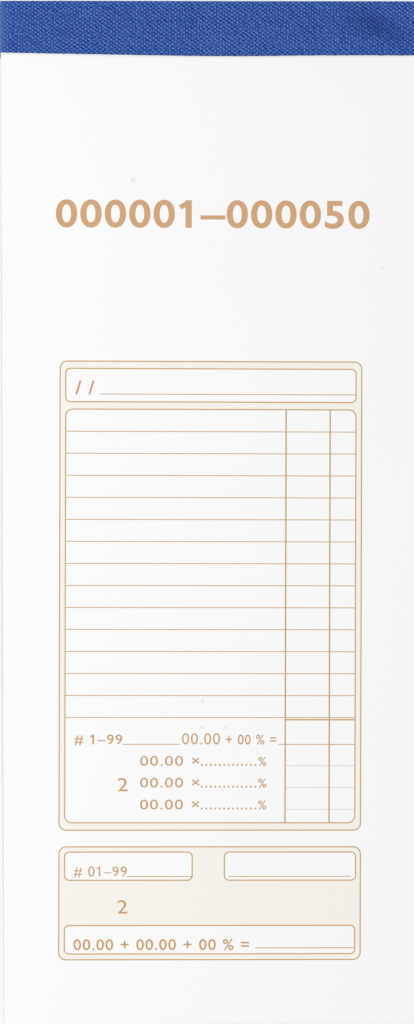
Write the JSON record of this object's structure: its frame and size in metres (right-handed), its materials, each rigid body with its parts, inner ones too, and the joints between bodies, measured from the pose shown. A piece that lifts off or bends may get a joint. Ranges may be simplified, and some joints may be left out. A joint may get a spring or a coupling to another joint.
{
  "type": "guest check pad",
  "caption": "Tall narrow pad of perforated tear-off checks with a printed fold-back cover, stapled and cloth-taped along its top edge onto a stiff backing board.",
  "frame": {"origin": "under the middle of the pad, on the surface that it rests on", "axes": "+X across the pad, +Y towards the taped end, +Z out of the front cover"},
  "size_m": [0.085, 0.21, 0.0068],
  "materials": {
    "binding_cloth": "blue plain-woven cotton tape with visible threads",
    "staple_wire": "plain drawn wire",
    "chipboard": "solid grey chipboard of pressed pulp, matt, with short fibres and specks",
    "cover_card": "smooth white card, printed with copper-coloured rules",
    "check_paper": "thin white writing paper, printed with copper-coloured rules"
  },
  "bodies": {
    "pad": {"binding_tape": "binding_cloth", "staple_left": "staple_wire", "staple_right": "staple_wire", "backing_board": "chipboard", "cover_bound_strip": "cover_card", "check_01_stub": "check_paper", "check_02_stub": "check_paper", "check_03_stub": "check_paper", "check_04": "check_paper", "check_05": "check_paper", "check_06": "check_paper", "check_07": "check_paper", "check_08": "check_paper", "check_09": "check_paper", "check_10": "check_paper", "check_11": "check_paper", "check_12": "check_paper", "check_13": "check_paper", "check_14": "check_paper", "check_15": "check_paper", "check_16": "check_paper", "check_17": "check_paper", "check_18": "check_paper", "check_19": "check_paper", "check_20": "check_paper", "check_21": "check_paper", "check_22": "check_paper", "check_23": "check_paper", "check_24": "check_paper", "check_25": "check_paper", "check_26": "check_paper", "check_27": "check_paper", "check_28": "check_paper", "check_29": "check_paper", "check_30": "check_paper", "check_31": "check_paper", "check_32": "check_paper", "check_33": "check_paper", "check_34": "check_paper", "check_35": "check_paper", "check_36": "check_paper", "check_37": "check_paper", "check_38": "check_paper", "check_39": "check_paper", "check_40": "check_paper", "check_41": "check_paper", "check_42": "check_paper", "check_43": "check_paper", "check_44": "check_paper", "check_45": "check_paper", "check_46": "check_paper", "check_47": "check_paper", "check_48": "check_paper", "check_49": "check_paper", "check_50": "check_paper"},
    "cover": {"front_cover": "cover_card"},
    "check_1": {"check_01": "check_paper"},
    "check_2": {"check_02": "check_paper"},
    "check_3": {"check_03": "check_paper"},
    "coupon_1": {"check_01_coupon": "check_paper"}
  },
  "joints": [
    {"name": "cover_fold", "type": "hinge", "parent": "pad", "child": "cover", "pos_m": [0, 0.0937, 0.00682], "axis": [-1, 0, 0], "range_deg": [0, 175]},
    {"name": "check_1_tear_off", "type": "slide", "parent": "pad", "child": "check_1", "axis": [0, -1, 0], "range_m": [0, 0.2]},
    {"name": "check_2_tear_off", "type": "slide", "parent": "pad", "child": "check_2", "axis": [0, -1, 0], "range_m": [0, 0.2]},
    {"name": "check_3_tear_off", "type": "slide", "parent": "pad", "child": "check_3", "axis": [0, -1, 0], "range_m": [0, 0.2]},
    {"name": "coupon_1_tear_off", "type": "slide", "parent": "check_1", "child": "coupon_1", "axis": [0, -1, 0], "range_m": [0, 0.045]}
  ]
}
